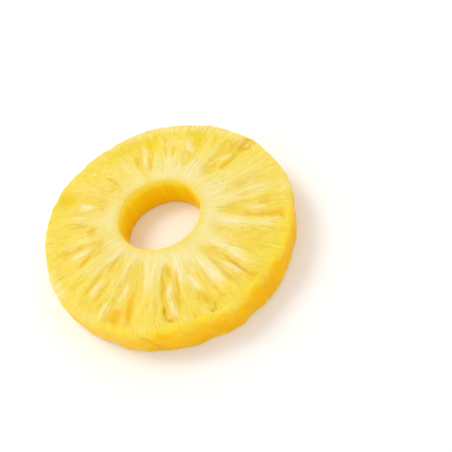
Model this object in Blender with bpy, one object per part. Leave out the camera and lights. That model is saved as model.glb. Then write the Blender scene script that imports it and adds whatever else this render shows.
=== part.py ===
"""A slice of fresh pineapple, peeled and cored, lying flat. Metres, with +Z up.

The fruit is cut across, so its fruitlets lie round the core like the petals of a
flower. Each is a tongue of soft flesh that has sunk a little, with a raised pale
strand in it, and the firm pale fibres between the tongues stand highest. The whole
slice is one piece, so it is one solid: a ring whose cross-section is swept round
the core, with the relief of the two cut faces and of the trimmed rim worked into it.
"""

import math
from collections import namedtuple

import bmesh
import bpy
import numpy as np
from mathutils import Vector, noise

# Driving sizes
OUTER_RADIUS = 0.0444
HOLE_RADIUS = 0.0149
THICKNESS = 0.0130
CORE_X = -0.00125
CORE_Y = 0.00215

# The edges, as the knife and the corer leave them
RIM_ROUNDING = 0.0010
UNDER_ROUNDING = 0.0011
HOLE_ROUNDING = 0.0007
RIM_BULGE = 0.0004

# The relief of the cut faces
TONGUE_DEPTH = 0.00065
STRAND_HEIGHT = 0.0005
FIBRE_HEIGHT = 0.00016
FIBRES_AROUND = 9.0
FIBRE_WANDER = 2.2
FACE_SWAY = 0.00025
SWAY_PER_METRE = 50.0

# The unevenness of the rim and of the hole's wall
RIM_LUMPS = 0.00022
LUMPS_AROUND = 7.0
LUMPS_PER_METRE = 220.0
OUTLINE_SCALLOP = 0.00018
SCALLOPS_AROUND = 6.0
HOLE_WOBBLE = 0.0002
WOBBLES_AROUND = 1.5

# How finely the ring is divided
RING_STEPS = 216
TOP_STEPS = 12
UNDER_STEPS = 6

# One fruitlet as the cut shows it. Angles are degrees round the core from +X. A share
# is 0 at the hole and 1 at the rim. The tongue runs from tip to end, and its strand
# from strand_in to strand_out, strand_off degrees to one side of the tongue's middle.
Fruitlet = namedtuple("Fruitlet", "angle half_width tip end depth strand_off strand_in strand_out")
FRUITLETS = (
    Fruitlet(357, 6.5, 0.30, 0.97, 0.5, -3.0, 0.35, 0.75),
    Fruitlet(29, 7.0, 0.24, 0.97, 0.8, -1.5, 0.48, 0.72),
    Fruitlet(52, 6.0, 0.26, 0.95, 0.6, 2.0, 0.48, 0.68),
    Fruitlet(69, 5.0, 0.40, 0.93, 0.3, 1.0, 0.50, 0.80),
    Fruitlet(90, 7.5, 0.20, 0.94, 0.8, 0.0, 0.34, 0.72),
    Fruitlet(108, 5.0, 0.45, 0.93, 0.3, 0.0, 0.50, 0.70),
    Fruitlet(125, 6.5, 0.20, 0.90, 0.4, 0.0, 0.35, 0.65),
    Fruitlet(148, 7.0, 0.20, 0.98, 0.7, 1.5, 0.38, 0.66),
    Fruitlet(171, 6.0, 0.30, 0.92, 0.5, 4.0, 0.35, 0.75),
    Fruitlet(193, 8.0, 0.25, 0.94, 0.8, -1.5, 0.38, 0.72),
    Fruitlet(220, 6.5, 0.17, 0.92, 0.7, 0.0, 0.46, 0.80),
    Fruitlet(240, 7.5, 0.16, 0.98, 0.9, -2.5, 0.44, 0.74),
    Fruitlet(265, 5.5, 0.23, 0.92, 1.0, 0.0, 0.42, 0.84),
    Fruitlet(283, 6.0, 0.34, 0.95, 0.7, -4.0, 0.40, 0.74),
    Fruitlet(300, 5.5, 0.26, 0.96, 0.8, 0.8, 0.48, 0.84),
    Fruitlet(318, 6.5, 0.26, 0.94, 0.4, 0.0, 0.50, 0.80),
    Fruitlet(340, 6.0, 0.22, 0.97, 0.9, 1.0, 0.50, 0.88),
)
STRAND_HALF_WIDTH = 1.7
UNDER_TURN = 8.0

# Where the paring knife left the outline proud (above 0) or cut it in: degrees, and metres
Paring = namedtuple("Paring", "angle half_width height")
OUTLINE = (
    Paring(57, 6, -0.0001),
    Paring(86, 9, 0.0003),
    Paring(100, 38, 0.0006),
    Paring(109, 7, -0.0003),
    Paring(141, 9, 0.0006),
    Paring(182, 15, -0.0010),
    Paring(212, 9, 0.0003),
    Paring(230, 14, -0.0004),
    Paring(243, 9, 0.0003),
    Paring(268, 7, 0.0003),
    Paring(287, 8, 0.0011),
    Paring(307, 9, 0.0008),
    Paring(323, 8, 0.0002),
    Paring(354, 9, 0.0008),
)

# Where the knife went in slanting, so that only the upper edge is cut in
TOP_EDGE_CUTS = (
    Paring(271, 9, -0.0006),
    Paring(288, 7, -0.0004),
    Paring(306, 9, -0.0018),
)

# The eye that tore out of the rim at one place, and the nodule left in its pit
TORN_EYE = Paring(25, 4.5, -0.0013)
TORN_EYE_SHARE = 0.9
TORN_EYE_REACH = 0.10
NODULE_TURN = -0.3
NODULE_SIZE = 0.35
NODULE_HEIGHT = 0.8

FLESH_COLOUR = (0.93, 0.67, 0.09, 1.0)
FLESH_ROUGHNESS = 0.4


def smooth_step(low, high, value):
    t = np.clip((value - low) / (high - low), 0.0, 1.0)
    return t * t * (3.0 - 2.0 * t)


def turn_between(degrees, middle):
    """The signed angle from middle to degrees, from -180 to 180."""
    return (degrees - middle + 180.0) % 360.0 - 180.0


def smooth_noise(x, y, z):
    """Smooth noise at each point of three arrays, from about -1 to 1."""
    return np.vectorize(lambda a, b, c: noise.noise(Vector((a, b, c))))(x, y, z)


def round_noise(degrees, how_many, height):
    """Noise that closes on itself after a full turn, with about six lumps for each of how_many."""
    a = np.radians(degrees)
    return smooth_noise(how_many * np.cos(a), how_many * np.sin(a), height + 0.0 * a)


def pared(degrees, paring):
    """How far a paring moves the outline at each angle."""
    return paring.height * np.exp(-((turn_between(degrees, paring.angle) / paring.half_width) ** 2))


def hole_radius(degrees):
    return HOLE_RADIUS + HOLE_WOBBLE * round_noise(degrees, WOBBLES_AROUND, 7.0)


def rim_radius(degrees):
    """The distance from the core's centre to the outline, which is round about the slice's own."""
    a = np.radians(degrees)
    along = CORE_X * np.cos(a) + CORE_Y * np.sin(a)
    circle = -along + np.sqrt(along**2 + OUTER_RADIUS**2 - CORE_X**2 - CORE_Y**2)
    scallop = OUTLINE_SCALLOP * round_noise(degrees, SCALLOPS_AROUND, 3.0)
    return circle + scallop + sum(pared(degrees, paring) for paring in OUTLINE)


def tongue_field(turn, share, fruitlet):
    """Below 1 inside the fruitlet's tongue, 1 on its border, and larger outside."""
    along = 2.0 * (share - fruitlet.tip) / (fruitlet.end - fruitlet.tip) - 1.0
    return np.abs(turn / fruitlet.half_width) ** 2 + np.abs(along) ** 3


def strand_field(turn, share, fruitlet):
    """Below 1 inside the pale strand of the fruitlet."""
    span = fruitlet.strand_out - fruitlet.strand_in
    along = 2.0 * (share - fruitlet.strand_in) / span - 1.0
    return ((turn - fruitlet.strand_off) / STRAND_HALF_WIDTH) ** 2 + along**2


def sunk_flesh(degrees, share):
    """How deep the tongues lie below the cut face, less the strands that stand in them."""
    depth = np.zeros_like(share)
    for fruitlet in FRUITLETS:
        turn = turn_between(degrees, fruitlet.angle)
        tongue = smooth_step(1.35, 0.55, tongue_field(turn, share, fruitlet))
        strand = smooth_step(1.4, 0.3, strand_field(turn, share, fruitlet))
        depth += fruitlet.depth * (TONGUE_DEPTH * tongue - STRAND_HEIGHT * strand)
    return depth


def torn_eye(degrees, share):
    """The height of the ragged pit at the rim where an eye tore out, and of its nodule."""
    turn = turn_between(degrees, TORN_EYE.angle) / TORN_EYE.half_width
    along = (share - TORN_EYE_SHARE) / TORN_EYE_REACH
    pit = np.exp(-(turn**2) - along**2)
    nodule = np.exp(-(((turn - NODULE_TURN) / NODULE_SIZE) ** 2) - (along / NODULE_SIZE) ** 2)
    return TORN_EYE.height * (pit - NODULE_HEIGHT * nodule)


def arc(rounding, first, last, steps):
    """Points of a quarter round or less, as (out, up) from its centre, by degrees from +Z."""
    angles = np.radians(np.linspace(first, last, steps))
    return [(rounding * math.sin(a), rounding * math.cos(a)) for a in angles]


def cross_section():
    """The ring's section, clockwise from the hole's upper edge, as rows of
    (blend, push, height): blend is 0 at the hole's side of a face and 1 at the rim's,
    and push moves the point out past that."""
    rows = [(blend, 0.0, THICKNESS) for blend in np.linspace(0.0, 1.0, TOP_STEPS)]
    for out, up in arc(RIM_ROUNDING, 30, 90, 3):
        rows.append((1.0, out, THICKNESS - RIM_ROUNDING + up))
    rows.append((1.0, RIM_ROUNDING, THICKNESS / 2))
    for out, up in arc(UNDER_ROUNDING, 90, 135, 2):
        rows.append((1.0, RIM_ROUNDING - UNDER_ROUNDING + out, UNDER_ROUNDING + up))
    rows += [(blend, 0.0, 0.0) for blend in np.linspace(1.0, 0.0, UNDER_STEPS)]
    rows.append((0.0, -HOLE_ROUNDING, HOLE_ROUNDING))
    for out, up in arc(HOLE_ROUNDING, 270, 315, 2):
        rows.append((0.0, out, THICKNESS - HOLE_ROUNDING + up))
    return np.array(rows)


def top_relief(degrees, share, x, y):
    """The height of the upper cut face above its level."""
    sway = FACE_SWAY * smooth_noise(SWAY_PER_METRE * x, SWAY_PER_METRE * y, 5.0 + 0.0 * x)
    fibres = FIBRE_HEIGHT * round_noise(degrees, FIBRES_AROUND, 11.0 + FIBRE_WANDER * share)
    return sway + fibres + torn_eye(degrees, share) - sunk_flesh(degrees, share)


def under_relief(degrees, share):
    """The height of the lower cut face, which rests on its fibres and has its tongues sunk in."""
    return np.maximum(sunk_flesh(degrees + UNDER_TURN, share), 0.0)


def slice_points():
    """The ring's points, one row for each step round it and one column for each of the section's."""
    blend, push, height = cross_section().T
    degrees = np.arange(RING_STEPS) * 360.0 / RING_STEPS
    degrees, blend = np.meshgrid(degrees, blend, indexing="ij")
    height = np.broadcast_to(height, degrees.shape)
    hole, rim = hole_radius(degrees), rim_radius(degrees)
    first, last = hole + HOLE_ROUNDING, rim - RIM_ROUNDING
    radius = first + blend * (last - first) + push
    share = np.clip((radius - hole) / (rim - hole), 0.0, 1.0)

    at_rim = np.clip(push / RIM_ROUNDING, 0.0, 1.0)
    lumps = RIM_LUMPS * round_noise(degrees, LUMPS_AROUND, LUMPS_PER_METRE * height)
    bulge = RIM_BULGE * (1.0 - (2.0 * height / THICKNESS - 1.0) ** 2)
    top_edge = smooth_step(0.3 * THICKNESS, THICKNESS, height) * smooth_step(0.9, 1.0, share)
    radius = radius + at_rim * (lumps + bulge) + top_edge * sum(pared(degrees, cut) for cut in TOP_EDGE_CUTS)

    x = CORE_X + radius * np.cos(np.radians(degrees))
    y = CORE_Y + radius * np.sin(np.radians(degrees))
    on_top = smooth_step(THICKNESS - RIM_ROUNDING, THICKNESS, height)
    underneath = smooth_step(UNDER_ROUNDING, 0.0, height)
    z = height + on_top * top_relief(degrees, share, x, y) + underneath * under_relief(degrees, share)
    return np.stack([x, y, z], axis=-1)


def centred(points):
    """The same points, with the middle of their outline on the Z axis."""
    flat = points[..., :2].reshape(-1, 2)
    points[..., :2] -= (flat.min(axis=0) + flat.max(axis=0)) / 2.0
    return points


def flesh_material():
    material = bpy.data.materials.new("pineapple_flesh")
    material.use_nodes = True
    shader = material.node_tree.nodes["Principled BSDF"]
    shader.inputs["Base Color"].default_value = FLESH_COLOUR
    shader.inputs["Roughness"].default_value = FLESH_ROUGHNESS
    return material


def build_slice():
    points = centred(slice_points())
    around, across = points.shape[:2]
    mesh = bpy.data.meshes.new("pineapple_slice")
    shape = bmesh.new()
    grid = [[shape.verts.new(point) for point in row] for row in points]
    for i in range(around):
        here, there = grid[i], grid[(i + 1) % around]
        for j in range(across):
            k = (j + 1) % across
            shape.faces.new((here[j], here[k], there[k], there[j]))
    bmesh.ops.recalc_face_normals(shape, faces=shape.faces)
    bmesh.ops.triangulate(shape, faces=shape.faces, quad_method="SHORT_EDGE")
    shape.to_mesh(mesh)
    shape.free()
    mesh.shade_smooth()
    mesh.materials.append(flesh_material())
    whole = bpy.data.objects.new("pineapple_slice", mesh)
    bpy.context.scene.collection.objects.link(whole)


for leftover in list(bpy.data.objects):
    bpy.data.objects.remove(leftover)
build_slice()
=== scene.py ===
"""A slice of fresh pineapple, peeled and cored, as it looks lying on a white table."""

import math
from collections import namedtuple

import bpy
from mathutils import Matrix, Vector


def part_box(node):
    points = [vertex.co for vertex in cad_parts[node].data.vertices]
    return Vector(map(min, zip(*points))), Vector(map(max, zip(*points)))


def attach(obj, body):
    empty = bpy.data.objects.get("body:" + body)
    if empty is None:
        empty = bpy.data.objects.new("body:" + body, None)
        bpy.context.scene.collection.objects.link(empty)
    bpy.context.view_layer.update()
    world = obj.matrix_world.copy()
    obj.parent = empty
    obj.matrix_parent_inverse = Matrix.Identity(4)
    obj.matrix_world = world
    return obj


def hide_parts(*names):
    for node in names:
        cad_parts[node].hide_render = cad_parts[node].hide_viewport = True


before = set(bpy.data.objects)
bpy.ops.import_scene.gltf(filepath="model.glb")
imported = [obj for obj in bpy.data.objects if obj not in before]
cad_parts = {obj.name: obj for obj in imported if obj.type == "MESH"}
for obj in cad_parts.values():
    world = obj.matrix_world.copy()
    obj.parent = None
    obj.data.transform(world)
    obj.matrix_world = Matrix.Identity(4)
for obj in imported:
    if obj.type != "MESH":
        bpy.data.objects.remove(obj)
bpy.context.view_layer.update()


# The camera
# It looks down on the slice from in front at about 52 degrees and is rolled a little,
# so that the cut face shows with the same tilt as in the photograph.

MM = 0.001
CAMERA_PLACE = Vector((18.5, -136.5, 171.0)) * MM
CAMERA_RIGHT = Vector((0.942, -0.264, -0.206))
CAMERA_UP = Vector((0.335, 0.743, 0.579))
CAMERA_LENS = 47.8
CAMERA_NEAREST = 5.0 * MM

right = CAMERA_RIGHT.normalized()
backward = right.cross(CAMERA_UP).normalized()
up = backward.cross(right)
turned = Matrix((right, up, backward)).transposed().to_4x4()
camera = bpy.data.objects.new("camera", bpy.data.cameras.new("camera"))
camera.data.lens = CAMERA_LENS
camera.data.clip_start = CAMERA_NEAREST
camera.matrix_world = Matrix.Translation(CAMERA_PLACE) @ turned
bpy.context.scene.collection.objects.link(camera)
bpy.context.scene.camera = camera


# The slice of fruit
# One piece of soft wet flesh, cut across the fruit, with the skin pared off its rim and
# the woody core punched out. Round the hole lie the fruitlets, each a sunken tongue of
# juicy flesh with pale strands in it, between rays of firm pale fibre.

OUTER_RADIUS = 44.4 * MM
HOLE_RADIUS = 14.9 * MM
THICKNESS = 13.0 * MM
CORE_X = -1.25 * MM
CORE_Y = 2.15 * MM
RIM_ROUNDING = 1.0 * MM
UNDER_ROUNDING = 1.1 * MM
HOLE_ROUNDING = 0.7 * MM
RIM_BULGE = 0.4 * MM
STEPS_AROUND = 820
TOP_STEPS = 64
RIM_STEPS = 13
UNDER_STEPS = 18
HOLE_STEPS = 9
SEED = 4

# How far the outline, the upper face, its rolled edge and the hole's wall wander from true
OUTLINE_SWAY = 0.3 * MM
FACE_SWAY = 0.35 * MM
EDGE_SWAY = 0.35 * MM
HOLE_DENTS = 0.12 * MM

# The relief of the cut faces. The tongues waver by some degrees, and their ends by a share
TONGUE_DEPTH = 0.45 * MM
TONGUE_BORDER_DEPTH = 0.12 * MM
TONGUE_WAVER = 1.8
TONGUE_END_WAVER = 0.05
STREAK_HEIGHT = 0.18 * MM
CREASE_DEPTH = 0.45 * MM
FIBRE_HEIGHT = 0.08 * MM
RIPPLE_HEIGHT = 0.12 * MM
FLECK_COUNT = 150
UNDERSIDE_TURN = 8.0

# The relief of the pared rim, where each flat cut of the knife takes up so many degrees
KNIFE_CUT_TURN = 15.0
KNIFE_CUT_DEPTH = 0.2 * MM
LUMP_HEIGHT = 0.35 * MM
SCAR_HEIGHT = 0.28 * MM
SPECK_HEIGHT = 0.17 * MM
FRAY_HEIGHT = 0.3 * MM

# Angles are degrees round the core, and shares go from 0 at the hole to 1 at the rim.
# A fruitlet's tongue of flesh goes from the share tip to the share end.
Fruitlet = namedtuple("Fruitlet", "angle half_width tip end depth")
FRUITLETS = (
    Fruitlet(357, 6.5, 0.30, 0.97, 0.5),
    Fruitlet(29, 7.0, 0.24, 0.97, 0.8),
    Fruitlet(52, 6.0, 0.26, 0.95, 0.6),
    Fruitlet(69, 5.0, 0.40, 0.93, 0.3),
    Fruitlet(90, 7.5, 0.20, 0.94, 0.8),
    Fruitlet(108, 5.0, 0.45, 0.93, 0.3),
    Fruitlet(125, 6.5, 0.20, 0.90, 0.4),
    Fruitlet(148, 7.0, 0.20, 0.98, 0.7),
    Fruitlet(171, 6.0, 0.30, 0.92, 0.5),
    Fruitlet(193, 8.0, 0.25, 0.94, 0.8),
    Fruitlet(220, 6.5, 0.17, 0.92, 0.7),
    Fruitlet(240, 7.5, 0.16, 0.98, 0.9),
    Fruitlet(265, 5.5, 0.23, 0.92, 1.0),
    Fruitlet(283, 6.0, 0.34, 0.95, 0.7),
    Fruitlet(300, 5.5, 0.26, 0.96, 0.8),
    Fruitlet(318, 6.5, 0.26, 0.94, 0.4),
    Fruitlet(340, 6.0, 0.22, 0.97, 0.9),
)

# A streak is a strand or a patch of one tone in the flesh. Its angle is at its middle, and
# lean is how many degrees it turns from its inner end to its outer end.
Streak = namedtuple("Streak", "angle lean inner outer half_width strength")
STREAKS = {
    "cream": (
        Streak(2, 0, 0.00, 0.34, 7.0, 0.3),
        Streak(44, 0, -0.06, 0.44, 8.0, 0.45),
        Streak(66, 0, -0.04, 0.40, 14.0, 0.35),
        Streak(70, 0, 0.20, 0.50, 5.0, 0.45),
        Streak(212, 0, 0.04, 0.42, 4.0, 0.5),
        Streak(251, 0, 0.10, 0.60, 3.4, 0.5),
        Streak(274.0, -4, 0.04, 0.58, 4.4, 0.7),
        Streak(278.6, 0, 0.36, 0.70, 2.0, 0.85),
        Streak(282, 0, 0.10, 0.50, 6.0, 0.35),
        Streak(290.8, 0, 0.22, 0.80, 3.2, 0.7),
        Streak(308.3, 0, 0.10, 0.76, 3.2, 0.65),
        Streak(329.5, 0, 0.08, 0.62, 4.2, 0.65),
        Streak(353, 0, 0.04, 0.98, 5.0, 0.45),
    ),
    "lemon": (
        Streak(24, 0, 0.44, 0.80, 5.0, 0.45),
        Streak(53.3, 8, 0.52, 0.94, 3.8, 0.75),
        Streak(83.0, 0, 0.48, 1.04, 4.4, 0.95),
        Streak(92, 0, -0.10, 0.34, 7.0, 0.40),
        Streak(105, 0, 0.62, 1.10, 18.0, 0.55),
        Streak(130, 0, -0.25, 0.60, 26.0, 0.5),
        Streak(147, 0, 0.62, 1.04, 6.0, 0.8),
        Streak(172, 0, 0.48, 0.88, 3.0, 0.4),
        Streak(184, 0, -0.06, 0.46, 12.0, 0.4),
        Streak(209, 0, 0.50, 0.88, 2.6, 0.5),
        Streak(222, 0, -0.05, 0.58, 20.0, 0.28),
        Streak(239, 0, 0.12, 0.40, 5.0, 0.4),
        Streak(262, 0, 0.30, 0.80, 8.0, 0.33),
        Streak(284.5, 0, 0.74, 0.94, 3.5, 0.6),
        Streak(290, 0, -0.20, 0.22, 16.0, 0.3),
        Streak(316, 0, 0.40, 0.94, 4.5, 0.35),
        Streak(349, 0, 0.64, 0.92, 2.0, 0.5),
        Streak(359, 0, 0.66, 0.96, 2.4, 0.5),
    ),
    "amber": (
        Streak(1, 0, 0.32, 0.88, 3.2, 0.5),
        Streak(22.8, 0, 0.40, 0.56, 3.4, 0.6),
        Streak(24.3, 1, 0.40, 0.84, 2.6, 0.8),
        Streak(30, 5, 0.66, 0.88, 2.4, 0.5),
        Streak(31, 0, 0.22, 0.48, 6.5, 0.45),
        Streak(33.5, 0, 0.79, 0.87, 1.8, 0.5),
        Streak(34, 3, 0.46, 0.76, 3.0, 0.35),
        Streak(67, 1, 0.38, 0.60, 1.3, 0.5),
        Streak(72, 1, 0.42, 0.60, 1.3, 0.4),
        Streak(86.5, -3, 0.18, 0.52, 2.2, 0.6),
        Streak(94, 0, 0.62, 1.02, 14.0, 0.2),
        Streak(95.6, 0, 0.34, 0.62, 2.2, 0.5),
        Streak(121, 0, 0.22, 0.60, 1.4, 0.75),
        Streak(128, 9, 0.22, 0.35, 2.5, 0.5),
        Streak(139.5, 0, 0.42, 0.76, 1.2, 0.4),
        Streak(140, 0, 0.10, 0.84, 22.0, 0.28),
        Streak(149.5, 2, 0.22, 0.38, 2.6, 0.5),
        Streak(156, 0, 0.04, 0.66, 10.0, 0.32),
        Streak(156.5, 0, 0.32, 0.82, 1.4, 0.4),
        Streak(167.5, 0, 0.35, 0.74, 2.0, 0.75),
        Streak(174.5, 0, 0.27, 0.46, 5.0, 0.75),
        Streak(185.2, -3, 0.40, 0.94, 1.6, 0.8),
        Streak(195, 0, 0.16, 0.46, 11.0, 0.4),
        Streak(197.5, 6, 0.34, 0.68, 2.4, 0.9),
        Streak(204, 0, 0.06, 0.60, 13.0, 0.25),
        Streak(215.5, 0, 0.38, 0.86, 1.2, 0.7),
        Streak(217.3, 1, 0.18, 0.46, 2.6, 0.65),
        Streak(223.7, 0, 0.42, 0.90, 1.3, 0.6),
        Streak(226, 0, 0.66, 1.00, 3.5, 0.35),
        Streak(231.3, 0, 0.38, 0.60, 1.3, 0.4),
        Streak(256.8, 0, 0.40, 0.98, 1.5, 0.35),
        Streak(260.6, -1, 0.22, 0.84, 1.4, 0.8),
        Streak(264.5, 0, 0.30, 0.92, 4.5, 0.25),
        Streak(265, 0, 0.21, 0.44, 3.4, 0.65),
        Streak(268, 0, 0.34, 0.98, 16.0, 0.22),
        Streak(268.2, 0, 0.54, 0.86, 1.2, 0.95),
        Streak(270.0, -3, 0.25, 0.70, 1.2, 1.0),
        Streak(273.5, 0, 0.46, 0.88, 0.5, 0.5),
        Streak(280.5, 3, 0.62, 0.90, 2.2, 0.8),
        Streak(287.5, 2, 0.60, 0.90, 1.0, 0.6),
        Streak(295.7, 0, 0.28, 0.90, 1.2, 0.75),
        Streak(300.3, 0, 0.25, 0.50, 4.4, 0.5),
        Streak(303.0, -1, 0.34, 1.00, 1.2, 0.85),
        Streak(311.7, 1, 0.44, 0.82, 1.0, 0.4),
        Streak(322, 0, 0.10, 0.34, 8.0, 0.3),
        Streak(324, 0, 0.60, 0.90, 2.0, 0.3),
        Streak(335.2, -5, 0.42, 1.00, 2.3, 0.9),
        Streak(340.5, 0, 0.20, 0.54, 4.2, 0.4),
        Streak(343.2, 0, 0.62, 0.82, 2.0, 0.7),
        Streak(351, -6, 0.36, 0.86, 0.6, 0.4),
    ),
    "orange": (
        Streak(22.6, 0, 0.40, 0.62, 2.4, 0.35),
        Streak(25, 1, 0.74, 0.90, 3.2, 0.9),
        Streak(28.5, 0, 0.84, 1.02, 2.4, 0.5),
        Streak(32, 0, 0.56, 0.84, 3.4, 0.35),
        Streak(95.4, 0, 0.36, 0.60, 2.4, 0.4),
        Streak(146.5, 0, 0.68, 1.02, 4.0, 0.4),
        Streak(237.3, 0, 0.70, 1.00, 2.7, 1.0),
        Streak(243.5, 4, 0.46, 1.00, 1.9, 1.0),
        Streak(261, 0, 0.28, 0.80, 1.8, 0.3),
        Streak(264.3, 0, 0.74, 0.92, 1.4, 0.5),
        Streak(281, 0, 0.66, 0.90, 2.6, 0.35),
        Streak(303, 0, 0.81, 0.96, 2.2, 0.7),
        Streak(335.6, 0, 0.72, 0.99, 2.6, 1.0),
    ),
    "pale": (
        Streak(4, 0, 0.40, 1.05, 20.0, 0.32),
        Streak(28.6, -5.5, 0.44, 0.72, 2.0, 0.65),
        Streak(55.5, 6, 0.45, 0.70, 2.8, 0.8),
        Streak(65, 0, 0.82, 1.10, 62.0, 0.55),
        Streak(69, 0, 0.52, 0.80, 4.0, 0.4),
        Streak(89.3, -3, 0.26, 0.76, 2.0, 0.9),
        Streak(105, 0, 0.32, 0.64, 4.0, 0.4),
        Streak(149.7, 0, 0.35, 0.66, 3.0, 0.9),
        Streak(159.8, 0, 0.40, 0.70, 1.5, 0.5),
        Streak(176, 0, 0.86, 1.04, 8.0, 0.3),
        Streak(181, 0, 0.42, 0.64, 1.5, 0.4),
        Streak(191.2, 0, 0.36, 0.72, 2.1, 1.0),
        Streak(201, 0, 0.84, 1.10, 12.0, 0.6),
        Streak(219.6, 0, 0.44, 0.82, 1.7, 0.85),
        Streak(225, 0, 0.88, 1.06, 12.0, 0.35),
        Streak(231.6, 0, 0.68, 0.96, 1.7, 0.9),
        Streak(236.8, 0, 0.38, 0.74, 2.2, 0.7),
        Streak(251, 0, 0.86, 1.06, 6.0, 0.35),
        Streak(264.6, -1.5, 0.41, 0.70, 1.4, 1.0),
        Streak(264.6, 2.5, 0.58, 0.90, 1.5, 0.9),
        Streak(286, 0, 0.94, 1.02, 4.5, 0.6),
        Streak(296, 0, 0.20, 0.85, 8.0, 0.3),
        Streak(300.2, 3, 0.46, 0.84, 2.2, 0.8),
        Streak(306.4, 0, 0.40, 0.86, 1.2, 0.5),
        Streak(331, 4, 0.46, 1.04, 2.2, 0.65),
        Streak(341.0, -3, 0.42, 0.80, 2.6, 0.6),
        Streak(351, 0, 0.80, 1.06, 9.0, 0.45),
        Streak(354, 0, 0.43, 0.84, 1.8, 0.7),
    ),
    # The creases are cut into the face, and their tone is painted shade
    "crease": (
        Streak(53.5, 8, 0.40, 0.54, 1.2, 0.35),
        Streak(260.9, 1.5, 0.70, 0.88, 0.55, 1.0),
        Streak(262.7, 3.5, 0.845, 0.915, 1.4, 0.9),
        Streak(281.0, 1, 0.895, 0.945, 1.9, 0.6),
        Streak(283.2, -1.5, 0.81, 0.97, 0.6, 0.7),
        Streak(302.9, 0, 0.52, 0.86, 0.6, 0.5),
        Streak(333.5, -3, 0.82, 1.00, 0.8, 0.5),
    ),
}

# Where the paring knife left the outline proud (above 0) or cut it in: degrees, and metres
Paring = namedtuple("Paring", "angle half_width height")
OUTLINE = (
    Paring(57, 6, -0.1 * MM),
    Paring(86, 9, 0.3 * MM),
    Paring(100, 38, 0.6 * MM),
    Paring(109, 7, -0.3 * MM),
    Paring(141, 9, 0.6 * MM),
    Paring(182, 15, -1.0 * MM),
    Paring(212, 9, 0.3 * MM),
    Paring(230, 14, -0.4 * MM),
    Paring(243, 9, 0.3 * MM),
    Paring(268, 7, 0.3 * MM),
    Paring(287, 8, 1.1 * MM),
    Paring(307, 9, 0.8 * MM),
    Paring(323, 8, 0.2 * MM),
    Paring(354, 9, 0.8 * MM),
)

# Where the knife slanted, so that only the upper edge is cut in, and where that edge sags
TOP_EDGE_CUTS = (
    Paring(271, 9, -0.6 * MM),
    Paring(288, 7, -0.4 * MM),
    Paring(306, 9, -1.8 * MM),
)
ROLLED_EDGE = Paring(226, 20, -1.0 * MM)
SOFT_EDGE = Paring(282, 44, -0.6 * MM)

# Where one cut of the knife ends on the rim in a slanting step. Its angles are degrees, and
# its lean is how many it turns from its top to its foot
STEP_TURN = 249.5
STEP_LEAN = 7.5
STEP_HALF_WIDTH = 1.3
STEP_DEPTH = 0.45 * MM

# The eye that tore out of the rim at one place
TORN_EYE = Paring(25, 4.0, -1.6 * MM)
TORN_EYE_SHARE = 0.90
TORN_EYE_REACH = 0.10


class Field:
    """A value that differs from place to place, as the output socket of a node."""

    def __init__(self, socket):
        self.socket = socket

    def __add__(self, other):
        return reckon("ADD", self, other)

    def __radd__(self, other):
        return reckon("ADD", other, self)

    def __sub__(self, other):
        return reckon("SUBTRACT", self, other)

    def __rsub__(self, other):
        return reckon("SUBTRACT", other, self)

    def __mul__(self, other):
        return reckon("MULTIPLY", self, other)

    def __rmul__(self, other):
        return reckon("MULTIPLY", other, self)

    def __truediv__(self, other):
        return reckon("DIVIDE", self, other)

    def __pow__(self, other):
        return reckon("POWER", self, other)

    def __neg__(self):
        return reckon("MULTIPLY", self, -1.0)

    def __abs__(self):
        return reckon("ABSOLUTE", self)


def add_node(tree, kind, values=None, **settings):
    """A new node. Each of values goes to the input with that name or number."""
    node = tree.nodes.new(kind)
    for name, value in settings.items():
        setattr(node, name, value)
    for place, value in (values or {}).items():
        if isinstance(value, Field):
            tree.links.new(value.socket, node.inputs[place])
        else:
            node.inputs[place].default_value = value
    return node


def tree_of(values):
    """The node tree that the fields among the values belong to."""
    return next(value.socket.id_data for value in values if isinstance(value, Field))


def reckon(operation, *values):
    """One step of arithmetic on fields and numbers."""
    inputs = dict(enumerate(values))
    node = add_node(tree_of(values), "ShaderNodeMath", inputs, operation=operation)
    return Field(node.outputs[0])


def greater(first, second):
    return reckon("MAXIMUM", first, second)


def smooth_step(low, high, value):
    """0 where value is at low or before it, 1 at high or after it, and an S between."""
    inputs = {"Value": value, "From Min": low, "From Max": high}
    tree = tree_of([value])
    node = add_node(tree, "ShaderNodeMapRange", inputs, interpolation_type="SMOOTHSTEP")
    return Field(node.outputs["Result"])


def hump(value):
    """1 where value is 0, fading to nothing on both sides, as a bell does."""
    return reckon("EXPONENT", -(value * value))


def vector(x, y, z=0.0):
    node = add_node(tree_of([x, y, z]), "ShaderNodeCombineXYZ", {"X": x, "Y": y, "Z": z})
    return Field(node.outputs[0])


def noise(place, scale=1.0, detail=0.0):
    """Smooth noise at a place, from about -1 to 1."""
    inputs = {"Vector": place, "Scale": scale, "Detail": detail}
    node = add_node(tree_of([place]), "ShaderNodeTexNoise", inputs)
    return Field(node.outputs["Fac"]) * 2.0 - 1.0


def ring_noise(bearing, fineness, across, detail=0.0):
    """Noise that closes round the core. The bearing is the cosine and the sine of the turn."""
    cosine, sine = bearing
    return noise(vector(cosine * fineness, sine * fineness, across), detail=detail)


def points_object(name, points, edges=(), values=None):
    """A helper mesh of bare points, with a number for each point under each name in values."""
    mesh = bpy.data.meshes.new(name)
    mesh.from_pydata(points, edges, [])
    for label, numbers in (values or {}).items():
        attribute = mesh.attributes.new(label, "FLOAT", "POINT")
        attribute.data.foreach_set("value", numbers)
    helper = bpy.data.objects.new(name, mesh)
    bpy.context.scene.collection.objects.link(helper)
    return helper


def points_of(name, rows):
    """One point for each row, on a circle of 1 m round the core, with the row's sizes on it."""
    turns = [math.radians(row.angle) for row in rows]
    points = [(math.cos(turn), math.sin(turn), 0.0) for turn in turns]
    values = {label: [float(getattr(row, label)) for row in rows] for label in rows[0]._fields}
    return points_object(name, points, values=values)


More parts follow.
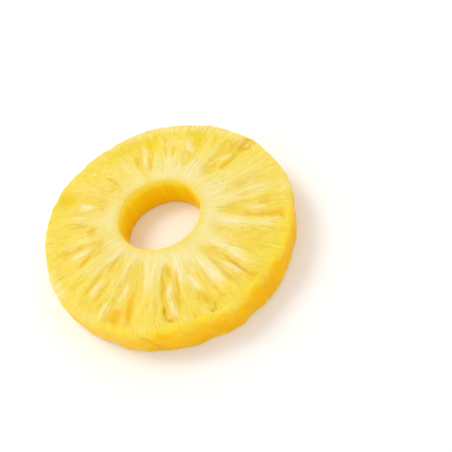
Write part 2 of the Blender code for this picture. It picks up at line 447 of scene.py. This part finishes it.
def arc(rounding, first, last, steps):
    """Points of a quarter round or less, as (out, up) from its centre, by degrees from +Z."""
    turns = [math.radians(first + (last - first) * i / (steps - 1)) for i in range(steps)]
    return [(rounding * math.sin(turn), rounding * math.cos(turn)) for turn in turns]


def section_loop():
    """The ring's section as a loop of points (blend, push, height), from the hole's upper edge.

    blend is 0 at the hole's side of a face and 1 at the rim's, and push moves on past that."""
    side = THICKNESS - RIM_ROUNDING - UNDER_ROUNDING
    side_top = THICKNESS - RIM_ROUNDING
    wall = THICKNESS - 2 * HOLE_ROUNDING
    rows = [(i / (TOP_STEPS - 1), 0.0, THICKNESS) for i in range(TOP_STEPS)]
    for out, rise in arc(RIM_ROUNDING, 15, 90, 6):
        rows.append((1.0, out, side_top + rise))
    for i in range(1, RIM_STEPS):
        rows.append((1.0, RIM_ROUNDING, side_top - side * i / RIM_STEPS))
    for out, rise in arc(UNDER_ROUNDING, 90, 165, 4):
        rows.append((1.0, RIM_ROUNDING - UNDER_ROUNDING + out, UNDER_ROUNDING + rise))
    rows += [(1.0 - i / (UNDER_STEPS - 1), 0.0, 0.0) for i in range(UNDER_STEPS)]
    for out, rise in arc(HOLE_ROUNDING, 210, 270, 3):
        rows.append((0.0, out, HOLE_ROUNDING + rise))
    for i in range(1, HOLE_STEPS):
        rows.append((0.0, -HOLE_ROUNDING, HOLE_ROUNDING + wall * i / HOLE_STEPS))
    for out, rise in arc(HOLE_ROUNDING, 270, 340, 4):
        rows.append((0.0, out, THICKNESS - HOLE_ROUNDING + rise))
    edges = [(i, (i + 1) % len(rows)) for i in range(len(rows))]
    return points_object("section", rows, edges)


# The value for each named input of the tree, by the input's identifier
given = {}


def tree_input(tree, name, kind, value=None):
    """A named input of the tree, with its value kept for the modifier."""
    socket_type = "NodeSocket" + kind
    socket = tree.interface.new_socket(name=name, in_out="INPUT", socket_type=socket_type)
    given[socket.identifier] = value
    inputs = next(node for node in tree.nodes if node.bl_idname == "NodeGroupInput")
    return Field(inputs.outputs[socket.identifier])


def named(tree, label, data_type="FLOAT"):
    """What is stored at each point under a name."""
    node = add_node(tree, "GeometryNodeInputNamedAttribute", {"Name": label}, data_type=data_type)
    return Field(node.outputs["Attribute"])


def stored(tree, geometry, label, value, data_type="FLOAT"):
    """The geometry with a value stored at each of its points under a name."""
    inputs = {"Geometry": geometry, "Name": label, "Value": value}
    kind = "GeometryNodeStoreNamedAttribute"
    node = add_node(tree, kind, inputs, data_type=data_type, domain="POINT")
    return Field(node.outputs["Geometry"])


def geometry_of(tree, helper):
    """The points of a helper object."""
    return Field(add_node(tree, "GeometryNodeObjectInfo", {"Object": helper}).outputs["Geometry"])


def of_row(tree, rows, label, index):
    """A row's number under a name, from the points that hold the rows."""
    inputs = {"Geometry": rows, "Value": named(tree, label), "Index": index}
    return Field(add_node(tree, "GeometryNodeSampleIndex", inputs).outputs["Value"])


def turn_between(degrees, middle):
    """The signed angle from middle to degrees, from -180 to 180."""
    return reckon("FLOORED_MODULO", degrees - middle + 180.0, 360.0) - 180.0


def pared(degrees, paring):
    """How far a cut of the knife moves the edge at this angle."""
    return paring.height * hump(turn_between(degrees, paring.angle) / paring.half_width)


def lens(along, off):
    """A streak's strength at a place: along goes from 0 to 1 down it, and off is across it."""
    ends = smooth_step(0.0, 0.35, along) * smooth_step(1.0, 0.65, along)
    return hump(off) * ends


def laid_streaks(tree, geometry, rows, tone, degrees, share):
    """The geometry with the strongest of one tone's streaks stored at each point, row by row."""
    start = tree.nodes.new("GeometryNodeRepeatInput")
    finish = tree.nodes.new("GeometryNodeRepeatOutput")
    start.pair_with_output(finish)
    count = add_node(tree, "GeometryNodeAttributeDomainSize", {"Geometry": rows})
    tree.links.new(count.outputs["Point Count"], start.inputs["Iterations"])
    tree.links.new(geometry.socket, start.inputs["Geometry"])
    step = Field(start.outputs["Iteration"])
    inner = of_row(tree, rows, "inner", step)
    along = (share - inner) / (of_row(tree, rows, "outer", step) - inner)
    middle = of_row(tree, rows, "angle", step) + of_row(tree, rows, "lean", step) * (along - 0.5)
    off = turn_between(degrees, middle) / of_row(tree, rows, "half_width", step)
    strength = of_row(tree, rows, "strength", step) * lens(along, off)
    strongest = greater(named(tree, tone), strength)
    kept = stored(tree, Field(start.outputs["Geometry"]), tone, strongest)
    tree.links.new(kept.socket, finish.inputs["Geometry"])
    return Field(finish.outputs["Geometry"])


def drawn(tree, low, high, index, seed):
    """A random number for each index, from low to high."""
    # The node's inputs 2 and 3 and its output 1 are its low, its high and its result as numbers
    inputs = {2: low, 3: high, "ID": index, "Seed": seed}
    return Field(add_node(tree, "FunctionNodeRandomValue", inputs, data_type="FLOAT").outputs[1])


def scattered_flecks(tree, geometry, count, seed, degrees, share):
    """The geometry with small flecks of juice at random places stored at each point."""
    start = tree.nodes.new("GeometryNodeRepeatInput")
    finish = tree.nodes.new("GeometryNodeRepeatOutput")
    start.pair_with_output(finish)
    tree.links.new(count.socket, start.inputs["Iterations"])
    tree.links.new(geometry.socket, start.inputs["Geometry"])
    step = Field(start.outputs["Iteration"])
    inner = drawn(tree, 0.30, 0.88, step, seed)
    along = (share - inner) / drawn(tree, 0.06, 0.20, step, seed + 1)
    angle = drawn(tree, 0.0, 360.0, step, seed + 2)
    middle = angle + drawn(tree, -2.0, 2.0, step, seed + 3) * along
    off = turn_between(degrees, middle) / drawn(tree, 0.4, 1.1, step, seed + 4)
    strength = drawn(tree, -1.0, 1.0, step, seed + 5) * lens(along, off)
    total = named(tree, "fleck") + strength
    kept = stored(tree, Field(start.outputs["Geometry"]), "fleck", total)
    tree.links.new(kept.socket, finish.inputs["Geometry"])
    return Field(finish.outputs["Geometry"])


def slice_tree(helpers, face_flesh, wall_flesh):
    """The rule that grows the slice: its section swept round the core, then shaped."""
    tree = bpy.data.node_groups.new("slice_of_fruit", "GeometryNodeTree")
    tree.interface.new_socket(name="Geometry", in_out="OUTPUT", socket_type="NodeSocketGeometry")
    tree.nodes.new("NodeGroupInput")
    section = tree_input(tree, "Section", "Geometry")
    fruitlets = tree_input(tree, "Fruitlets", "Object", helpers["fruitlets"])
    tones = {}
    for tone in STREAKS:
        tones[tone] = tree_input(tree, tone.capitalize(), "Object", helpers[tone])
    outer_radius = tree_input(tree, "Outer radius", "Float", OUTER_RADIUS)
    hole_radius = tree_input(tree, "Hole radius", "Float", HOLE_RADIUS)
    thickness = tree_input(tree, "Thickness", "Float", THICKNESS)
    core_x = tree_input(tree, "Core X", "Float", CORE_X)
    core_y = tree_input(tree, "Core Y", "Float", CORE_Y)
    steps = tree_input(tree, "Steps around", "Int", STEPS_AROUND)
    tongue_depth = tree_input(tree, "Tongue depth", "Float", TONGUE_DEPTH)
    streak_height = tree_input(tree, "Streak height", "Float", STREAK_HEIGHT)
    crease_depth = tree_input(tree, "Crease depth", "Float", CREASE_DEPTH)
    fibre_height = tree_input(tree, "Fibre height", "Float", FIBRE_HEIGHT)
    flecks = tree_input(tree, "Flecks", "Int", FLECK_COUNT)
    seed = tree_input(tree, "Seed", "Int", SEED)
    faces = tree_input(tree, "Flesh of the faces", "Material", face_flesh)
    walls = tree_input(tree, "Flesh of the walls", "Material", wall_flesh)

    # The section's own points keep where they are in it, and the circle's keep their turn
    loop = add_node(tree, "GeometryNodeMeshToCurve", {"Mesh": section})
    place = Field(add_node(tree, "GeometryNodeInputPosition").outputs["Position"])
    profile = stored(tree, Field(loop.outputs["Curve"]), "station", place, "FLOAT_VECTOR")
    circle = add_node(tree, "GeometryNodeCurvePrimitiveCircle", {"Resolution": steps})
    index = Field(add_node(tree, "GeometryNodeInputIndex").outputs["Index"])
    rail = stored(tree, Field(circle.outputs["Curve"]), "turn", index * 360.0 / steps)
    swept = add_node(tree, "GeometryNodeCurveToMesh", {"Curve": rail, "Profile Curve": profile})
    ring = Field(swept.outputs["Mesh"])

    turn = named(tree, "turn")
    station = named(tree, "station", "FLOAT_VECTOR")
    parts = add_node(tree, "ShaderNodeSeparateXYZ", {"Vector": station})
    blend, push, height = (Field(output) for output in parts.outputs)
    radians = turn * (math.pi / 180.0)
    cosine, sine = reckon("COSINE", radians), reckon("SINE", radians)
    bearing = (cosine, sine)

    # The outline and the hole
    along = core_x * cosine + core_y * sine
    core_off = core_x * core_x + core_y * core_y
    rim = reckon("SQRT", along * along + outer_radius * outer_radius - core_off) - along
    rim = rim + OUTLINE_SWAY * ring_noise(bearing, 6.0, seed)
    for paring in OUTLINE:
        rim = rim + pared(turn, paring)
    hole = hole_radius + OUTLINE_SWAY * ring_noise(bearing, 1.5, seed + 5.0)
    first, last = hole + HOLE_ROUNDING, rim - RIM_ROUNDING
    radius = first + blend * (last - first) + push
    share = (radius - hole) / (rim - hole)

    on_top = smooth_step(thickness - RIM_ROUNDING, thickness, height)
    underneath = smooth_step(UNDER_ROUNDING, 0.0, height)
    at_rim = smooth_step(0.0, RIM_ROUNDING, push)
    at_hole = smooth_step(0.0, -HOLE_ROUNDING, push)

    # The rim's bulge, the flat cuts of the paring knife and the step between two of them, the
    # lumps and scars, and the frayed lower edge
    level = height / thickness
    slant = 1.5 * ring_noise(bearing, 3.0, level * 0.7 + seed)
    cut = abs(reckon("FRACT", turn / KNIFE_CUT_TURN + slant) - 0.5) * 2.0
    cut_depth = KNIFE_CUT_DEPTH + KNIFE_CUT_DEPTH * ring_noise(bearing, 2.0, seed + 3.0)
    lumps = LUMP_HEIGHT * ring_noise(bearing, 7.0, height * 160.0 + seed)
    scars = SCAR_HEIGHT * ring_noise(bearing, 15.0, height * 350.0 + seed, detail=1.0)
    specks = SPECK_HEIGHT * ring_noise(bearing, 34.0, height * 500.0 + seed, detail=1.0)
    low_down = smooth_step(0.3, 0.0, level)
    fray = FRAY_HEIGHT * ring_noise(bearing, 45.0, seed, detail=1.0) * low_down
    bulge = RIM_BULGE * (1.0 - (2.0 * level - 1.0) ** 2.0)
    step_off = turn_between(turn, STEP_TURN) - STEP_LEAN * (1.0 - level)
    step_line = hump(step_off / STEP_HALF_WIDTH) * smooth_step(0.05, 0.35, level)
    side = lumps + scars + specks + fray + bulge + cut_depth * (cut - 0.5) - STEP_DEPTH * step_line
    radius = radius + at_rim * side
    top_edge = smooth_step(0.3, 1.0, level) * smooth_step(0.9, 1.0, share)
    for edge_cut in TOP_EDGE_CUTS:
        radius = radius + top_edge * pared(turn, edge_cut)
    radius = radius + at_hole * HOLE_DENTS * ring_noise(bearing, 8.0, height * 300.0)

    # Where this place lies among the fruitlets, whose borders waver a little
    wander = ring_noise(bearing, 8.0, share * 6.0 + seed, detail=1.0)
    sway = ring_noise(bearing, 14.0, share * 5.0 + seed + 9.0, detail=1.0)
    degrees = turn + underneath * UNDERSIDE_TURN + TONGUE_WAVER * wander * (0.3 + share)
    inward = share + TONGUE_END_WAVER * sway
    ring = stored(tree, ring, "degrees", degrees)
    ring = stored(tree, ring, "inward", inward)
    degrees, inward = named(tree, "degrees"), named(tree, "inward")
    for tone, helper in tones.items():
        ring = laid_streaks(tree, ring, geometry_of(tree, helper), tone, degrees, inward)
    ring = scattered_flecks(tree, ring, flecks, seed, degrees, inward)
    face_turn = degrees * (math.pi / 180.0)
    face_bearing = (reckon("COSINE", face_turn), reckon("SINE", face_turn))
    rows = geometry_of(tree, fruitlets)
    inputs = {"Geometry": rows, "Sample Position": vector(*face_bearing)}
    nearest = Field(add_node(tree, "GeometryNodeSampleNearest", inputs).outputs["Index"])
    off = turn_between(degrees, of_row(tree, rows, "angle", nearest))
    tip = of_row(tree, rows, "tip", nearest)
    length = 2.0 * (inward - tip) / (of_row(tree, rows, "end", nearest) - tip) - 1.0
    shape = (off / of_row(tree, rows, "half_width", nearest)) ** 2.0 + abs(length) ** 3.0
    tongue = smooth_step(1.5, 0.4, shape) * of_row(tree, rows, "depth", nearest)
    border = hump((shape - 1.0) / 0.3) * smooth_step(0.9, 0.2, length)

    # The eye that tore out of the rim, with a nodule left in its pit
    torn_turn = turn_between(degrees, TORN_EYE.angle) / TORN_EYE.half_width
    torn_along = (inward - TORN_EYE_SHARE) / TORN_EYE_REACH
    pit = hump(torn_turn) * hump(torn_along) * on_top
    nodule = hump((torn_turn + 0.1) / 0.35) * hump(torn_along / 0.4) * on_top

    # The fibres, which run out from the core
    face_cosine, face_sine = face_bearing
    grain = vector(face_cosine * 40.0, face_sine * 40.0, share * 3.0 + seed)
    fibres = noise(grain) + 0.5 * noise(grain, 2.2)
    ripples = ring_noise(bearing, 14.0, share * 2.2 + seed)
    sunk = greater(named(tree, "orange"), 0.6 * named(tree, "lemon"))
    sunk = greater(named(tree, "amber"), sunk)
    raised = smooth_step(0.0, 1.1, named(tree, "pale")) - 0.7 * sunk
    raised = (raised + 0.35 * named(tree, "fleck")) * (1.0 + 0.5 * fibres)
    relief = fibre_height * fibres + RIPPLE_HEIGHT * ripples + streak_height * raised
    relief = relief - tongue_depth * tongue - TONGUE_BORDER_DEPTH * border
    relief = relief - crease_depth * named(tree, "crease")
    x = core_x + radius * cosine
    y = core_y + radius * sine
    face_sway = FACE_SWAY * noise(vector(x * 50.0, y * 50.0, seed))
    torn = TORN_EYE.height * (pit - 0.9 * nodule)
    edge_drop = pared(turn, ROLLED_EDGE) + pared(turn, SOFT_EDGE)
    edge_drop = edge_drop + EDGE_SWAY * ring_noise(bearing, 20.0, seed + 7.0, detail=1.0)
    rolled = level * smooth_step(0.82, 1.05, share) * edge_drop
    recess = greater(tongue_depth * tongue - streak_height * raised, 0.0)
    z = height + on_top * (relief + face_sway + torn) + rolled + underneath * recess

    inputs = {"Geometry": ring, "Position": vector(x, y, z)}
    fruit = Field(add_node(tree, "GeometryNodeSetPosition", inputs).outputs["Geometry"])
    for label, value in (
        ("fibre", fibres),
        ("tongue", tongue),
        ("border", border),
        ("pit", pit),
        ("nodule", nodule),
        ("level", level),
        ("step", step_line * at_rim),
        ("rolled", hump(turn_between(turn, ROLLED_EDGE.angle) / ROLLED_EDGE.half_width)),
        ("rim_side", at_rim * (1.0 - on_top) * (1.0 - underneath)),
        ("hole_side", at_hole * (1.0 - on_top)),
    ):
        fruit = stored(tree, fruit, label, value)
    compass = vector(face_cosine, face_sine, share)
    fruit = stored(tree, fruit, "compass", compass, "FLOAT_VECTOR")
    real = add_node(tree, "GeometryNodeRealizeInstances", {"Geometry": fruit})
    inputs = {"Geometry": Field(real.outputs["Geometry"]), "Material": faces}
    coated = add_node(tree, "GeometryNodeSetMaterial", inputs)
    on_wall = reckon("GREATER_THAN", named(tree, "rim_side") + named(tree, "hole_side"), 0.3)
    inputs = {"Geometry": Field(coated.outputs["Geometry"]), "Material": walls}
    inputs["Selection"] = on_wall
    coated = add_node(tree, "GeometryNodeSetMaterial", inputs)
    add_node(tree, "NodeGroupOutput", {"Geometry": Field(coated.outputs["Geometry"])})
    return tree


def attribute(tree, label, output="Fac"):
    """What the grown slice carries under a name, for its materials."""
    node = add_node(tree, "ShaderNodeAttribute", attribute_name=label)
    return Field(node.outputs[output])


def painted(under, over, amount):
    """The colour over laid on the colour under, by an amount from 0 to 1."""
    # The node's inputs 6 and 7 and its output 2 are its two colours and their mixture
    inputs = {0: amount, 6: under, 7: over}
    node = add_node(tree_of([amount]), "ShaderNodeMix", inputs, data_type="RGBA")
    return Field(node.outputs[2])


# The colours of the firm and the ripe flesh, of the tones in it, and of the walls
CREAM = (0.89, 0.775, 0.37, 1.0)
YELLOW = (0.87, 0.68, 0.09, 1.0)
APRICOT = (0.87, 0.59, 0.08, 1.0)
TONE_COLOURS = {
    "cream": (0.92, 0.82, 0.50, 1.0),
    "lemon": (0.81, 0.605, 0.003, 1.0),
    "amber": (0.78, 0.49, 0.018, 1.0),
    "orange": (0.86, 0.475, 0.001, 1.0),
    "pale": (0.90, 0.77, 0.36, 1.0),
    # Painted shade in the creases
    "crease": (0.64, 0.36, 0.002, 1.0),
}
THREAD = (0.97, 0.78, 0.20, 1.0)
# Painted shade in the grooves between the threads
GROOVE_SHADE = (0.70, 0.43, 0.01, 1.0)
RIM_GOLD = (0.93, 0.51, 0.002, 1.0)
# Deep gold patches on the rim, and painted shade low down and at its right-hand front
RIM_DEEP_AND_SHADE = (0.85, 0.43, 0.001, 1.0)
RIM_PALE = (0.95, 0.67, 0.045, 1.0)
# A painted highlight along the rim's upper edge at the front
RIM_LIP_HIGHLIGHT = (1.0, 0.73, 0.03, 1.0)
HOLE_GOLD = (1.0, 0.69, 0.001, 1.0)
# Painted shade low down in the hole, and a painted highlight on its upper edge at the back
HOLE_SHADE = (0.99, 0.56, 0.001, 1.0)
HOLE_LIP_HIGHLIGHT = (1.0, 0.84, 0.09, 1.0)

# The wet surface and its fine grain, and how far red, green and blue light reach into the flesh
FLESH_ROUGHNESS = 0.4
GRAIN_DEPTH = 0.2 * MM
GRAIN_STRENGTH = 0.4
GLOW_REACH = (1.0, 0.6, 0.15)


def flesh_material(name, gloss, glow, glow_depth):
    """Flesh, cut clean on the faces. On the walls it is torn, less glossy, and glows more."""
    material = bpy.data.materials.new(name)
    material.use_nodes = True
    tree = material.node_tree
    shader = tree.nodes["Principled BSDF"]
    compass = attribute(tree, "compass", "Vector")
    parts = add_node(tree, "ShaderNodeSeparateXYZ", {"Vector": compass})
    cosine, sine, share = (Field(output) for output in parts.outputs)
    level = attribute(tree, "level")
    on_rim, in_hole = attribute(tree, "rim_side"), attribute(tree, "hole_side")
    bearing = (cosine, sine)
    bend = 0.02 * ring_noise(bearing, 12.0, share * 9.0, detail=1.0)
    bent = (cosine + bend, sine - bend)
    rays = ring_noise(bearing, 7.0, share * 1.2, detail=2.0)
    threads = ring_noise(bent, 55.0, share * 2.6, detail=1.0)
    hairs = ring_noise(bent, 110.0, share * 5.0)
    clouds = ring_noise(bearing, 20.0, share * 14.0, detail=3.0)
    blotches = ring_noise(bent, 16.0, share * 5.0, detail=2.0)
    fibre = attribute(tree, "fibre")
    outer = smooth_step(0.50, 0.85, share)

    # The cream flesh round the core ripens to yellow further out, more so in the tongues
    tongue = attribute(tree, "tongue")
    uneven = 0.30 * rays + 0.16 * threads + 0.14 * fibre + 0.25 * blotches
    uneven = uneven * (0.6 + 0.4 * smooth_step(0.05, 0.35, share))
    ripe = smooth_step(-0.35, 0.85, share + 1.3 * uneven + 0.35 * (tongue - 0.25))
    colour = painted(CREAM, YELLOW, ripe)
    colour = painted(colour, YELLOW, smooth_step(0.12, 0.0, share) * 0.8)
    ripest_clouds = smooth_step(0.1, 1.1, share - 0.4 + clouds)
    colour = painted(colour, TONE_COLOURS["lemon"], ripest_clouds * 0.5)
    colour = painted(colour, APRICOT, smooth_step(0.0, 1.2, tongue + 0.7 * clouds) * 0.4)

    # Fine pale threads, clearest halfway out, with painted shade in the grooves between them
    fine = threads + 0.5 * hairs + 0.3 * fibre
    clear = (0.50 - 0.08 * outer) * smooth_step(0.02, 0.30, share)
    colour = painted(colour, THREAD, smooth_step(0.05, 0.8, fine) * clear)
    colour = painted(colour, GROOVE_SHADE, smooth_step(0.1, 0.8, -fine) * clear)

    # The borders of the tongues, the patches and strands, the creases with their painted shade, and
    # the flecks
    broken = 1.0 + 0.7 * threads + 0.6 * clouds + 0.3 * hairs
    borders = attribute(tree, "border") * smooth_step(-0.2, 0.7, clouds + 0.5 * threads)
    colour = painted(colour, TONE_COLOURS["amber"], borders * 0.6)
    for tone, tone_colour in TONE_COLOURS.items():
        strength = smooth_step(0.0, 1.05, attribute(tree, tone) * broken)
        colour = painted(colour, tone_colour, strength * 0.95)
    fleck = attribute(tree, "fleck")
    colour = painted(colour, TONE_COLOURS["pale"], smooth_step(0.0, 1.1, fleck) * 0.5)
    colour = painted(colour, TONE_COLOURS["amber"], smooth_step(0.0, 1.1, -fleck) * 0.5)

    # The torn eye, with painted shade along its broken edge, and its paler nodule
    pit, nodule = attribute(tree, "pit"), attribute(tree, "nodule")
    colour = painted(colour, TONE_COLOURS["amber"], smooth_step(0.2, 0.9, pit) * 0.75)
    shaded_broken_edge = hump((pit - 0.35) / 0.15) * smooth_step(0.9, 1.0, share)
    colour = painted(colour, TONE_COLOURS["crease"], shaded_broken_edge * 0.6)
    colour = painted(colour, THREAD, smooth_step(0.2, 0.9, nodule) * 0.8)

    # The pared rim shows fibres cut across. It has deep gold patches and painted shade lower down
    # and at its right-hand front, is paler where it is frayed, and has a painted highlight along
    # its upper edge at the front
    patches = ring_noise(bearing, 9.0, level * 1.6, detail=3.0)
    scars = ring_noise(bearing, 24.0, level * 5.0, detail=1.5)
    cut_ends = ring_noise(bearing, 60.0, level * 5.0, detail=2.0)
    near_front = smooth_step(0.1, -0.6, sine)
    # The right-hand front of the rim, which is painted in shade
    shaded_right_front = smooth_step(-0.1, 0.6, cosine) * near_front
    mottled = 1.9 * patches + 0.9 * scars + 0.2 * cut_ends
    rim_colour = painted(RIM_PALE, RIM_GOLD, smooth_step(-0.55, 0.5, mottled + 0.35 * shaded_right_front))
    # Painted shade lower down and at the right-hand front, mixed with deep gold patches
    deep_gold_and_low_shade = smooth_step(0.95, 0.0, level - 0.10 * shaded_right_front + 1.6 * patches + 0.7 * scars)
    rim_colour = painted(rim_colour, RIM_DEEP_AND_SHADE, deep_gold_and_low_shade * 0.85)
    frayed = smooth_step(0.35, 0.05, level) * smooth_step(0.0, 0.5, patches + cut_ends)
    rim_colour = painted(rim_colour, RIM_PALE, frayed * 0.7)
    # The rim about the rolled edge at the left is painted yellow, partly as the face's yellow
    # rolling over and partly as painted light where it faces the light
    rim_colour = painted(rim_colour, YELLOW, attribute(tree, "rolled") * 0.45)
    # Painted shade along the slanting step of the knife
    rim_colour = painted(rim_colour, TONE_COLOURS["amber"], attribute(tree, "step") * 0.7)
    # Painted highlight along the upper edge of the rim at the front
    lip_highlight_reach = near_front * smooth_step(-0.9, -0.3, cosine)
    lip_highlight_reach = lip_highlight_reach * smooth_step(-0.8, 0.5, patches + 0.5 * scars)
    lip_highlight = hump((share - 1.0) / 0.06) * lip_highlight_reach
    colour = painted(colour, RIM_LIP_HIGHLIGHT, lip_highlight * 0.8)
    below_edge = smooth_step(-0.3, 1.3, (1.0 - level) * 4.4 + 1.3 * patches + 0.3 * scars)
    colour = painted(colour, rim_colour, on_rim * below_edge)

    # The punched wall of the hole has painted shade lower down, and a painted highlight along its
    # upper edge at the back
    punched = ring_noise(bearing, 9.0, level * 0.8, detail=2.0)
    hole_colour = painted(HOLE_GOLD, HOLE_SHADE, smooth_step(1.0, 0.0, level + 0.8 * punched))
    hole_lip_highlight = smooth_step(0.66, 1.0, level + 0.12 * punched) * smooth_step(-0.3, 0.2, sine)
    hole_colour = painted(hole_colour, HOLE_LIP_HIGHLIGHT, hole_lip_highlight * 0.8)
    colour = painted(colour, hole_colour, in_hole)
    tree.links.new(colour.socket, shader.inputs["Base Color"])

    face_grain = fine * (1.0 - on_rim) * (1.0 - in_hole)
    rim_grain = (2.5 * scars + 1.5 * cut_ends) * on_rim
    inputs = {"Height": face_grain + rim_grain, "Distance": GRAIN_DEPTH, "Strength": GRAIN_STRENGTH}
    bump = add_node(tree, "ShaderNodeBump", inputs)
    tree.links.new(bump.outputs["Normal"], shader.inputs["Normal"])
    shader.inputs["Roughness"].default_value = FLESH_ROUGHNESS
    shader.inputs["Specular IOR Level"].default_value = gloss
    shader.inputs["Subsurface Weight"].default_value = glow
    shader.inputs["Subsurface Radius"].default_value = GLOW_REACH
    shader.inputs["Subsurface Scale"].default_value = glow_depth
    return material


def plain_mesh(grown, name):
    """A plain mesh object of what the modifiers make of another object."""
    graph = bpy.context.evaluated_depsgraph_get()
    mesh = bpy.data.meshes.new_from_object(grown.evaluated_get(graph))
    mesh.name = name
    grown.modifiers.clear()
    bpy.data.objects.remove(grown)
    result = bpy.data.objects.new(name, mesh)
    bpy.context.scene.collection.objects.link(result)
    return result


helpers = {"fruitlets": points_of("fruitlets", FRUITLETS)}
for tone, rows in STREAKS.items():
    helpers[tone] = points_of(tone, rows)
section = section_loop()
modifier = section.modifiers.new("slice", "NODES")
face_flesh = flesh_material("pineapple_flesh", gloss=0.12, glow=0.35, glow_depth=1.5 * MM)
wall_flesh = flesh_material("pineapple_flesh_wall", gloss=0.05, glow=0.4, glow_depth=3.0 * MM)
modifier.node_group = slice_tree(helpers, face_flesh, wall_flesh)
for identifier, value in given.items():
    if value is not None:
        modifier[identifier] = value
slice_piece = plain_mesh(section, "slice_of_flesh")
for helper in helpers.values():
    bpy.data.objects.remove(helper)

# The middle of the grown slice comes over the middle of the solid that it replaces
low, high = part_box("pineapple_slice")
corners = [Vector(corner) for corner in slice_piece.bound_box]
mine_low = Vector([min(c[i] for c in corners) for i in range(3)])
mine_high = Vector([max(c[i] for c in corners) for i in range(3)])
shift = (low + high - mine_low - mine_high) / 2.0
slice_piece.data.transform(Matrix.Translation((shift.x, shift.y, 0.0)))
slice_piece.data.shade_smooth()
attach(slice_piece, "root")
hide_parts("pineapple_slice")


# The table and the light
# A plain white surface in a bright white surround, which lights the slice from all sides,
# with one soft lamp behind it at the left that picks out the relief and the wet gloss.

TABLE_REACH = 2.0
TABLE_WHITE = (1.0, 0.98, 0.965, 1.0)
TABLE_ROUGHNESS = 0.8
LAMP_PLACE = Vector((-0.40, 0.42, 0.81))
LAMP_POWER = 3.3
LAMP_SIZE = 0.4
SURROUND_WHITE = (1.0, 1.0, 1.0, 1.0)
SURROUND_LOW = 1.32
SURROUND_OVERHEAD = 0.62

floor_mesh = bpy.data.meshes.new("floor")
signs = ((-1, -1), (1, -1), (1, 1), (-1, 1))
table_corners = [(x * TABLE_REACH, y * TABLE_REACH, 0.0) for x, y in signs]
floor_mesh.from_pydata(table_corners, [], [(0, 1, 2, 3)])
floor = bpy.data.objects.new("floor", floor_mesh)
bpy.context.scene.collection.objects.link(floor)
white = bpy.data.materials.new("white_table")
white.use_nodes = True
table_shader = white.node_tree.nodes["Principled BSDF"]
table_shader.inputs["Base Color"].default_value = TABLE_WHITE
table_shader.inputs["Roughness"].default_value = TABLE_ROUGHNESS
floor_mesh.materials.append(white)

lamp_light = bpy.data.lights.new("back_light", "AREA")
lamp_light.energy = LAMP_POWER
lamp_light.size = LAMP_SIZE
lamp = bpy.data.objects.new("back_light", lamp_light)
aim = (-LAMP_PLACE).to_track_quat("-Z", "Y").to_matrix().to_4x4()
lamp.matrix_world = Matrix.Translation(LAMP_PLACE) @ aim
bpy.context.scene.collection.objects.link(lamp)

world = bpy.data.worlds.new("surround")
world.use_nodes = True
background = world.node_tree.nodes["Background"]
background.inputs["Color"].default_value = SURROUND_WHITE
direction = Field(add_node(world.node_tree, "ShaderNodeTexCoord").outputs["Generated"])
rise = add_node(world.node_tree, "ShaderNodeSeparateXYZ", {"Vector": direction})
dimming = {"Value": Field(rise.outputs["Z"]), "To Min": SURROUND_LOW, "To Max": SURROUND_OVERHEAD}
strength = add_node(world.node_tree, "ShaderNodeMapRange", dimming)
world.node_tree.links.new(strength.outputs["Result"], background.inputs["Strength"])
bpy.context.scene.world = world
bpy.context.scene.view_settings.view_transform = "Standard"
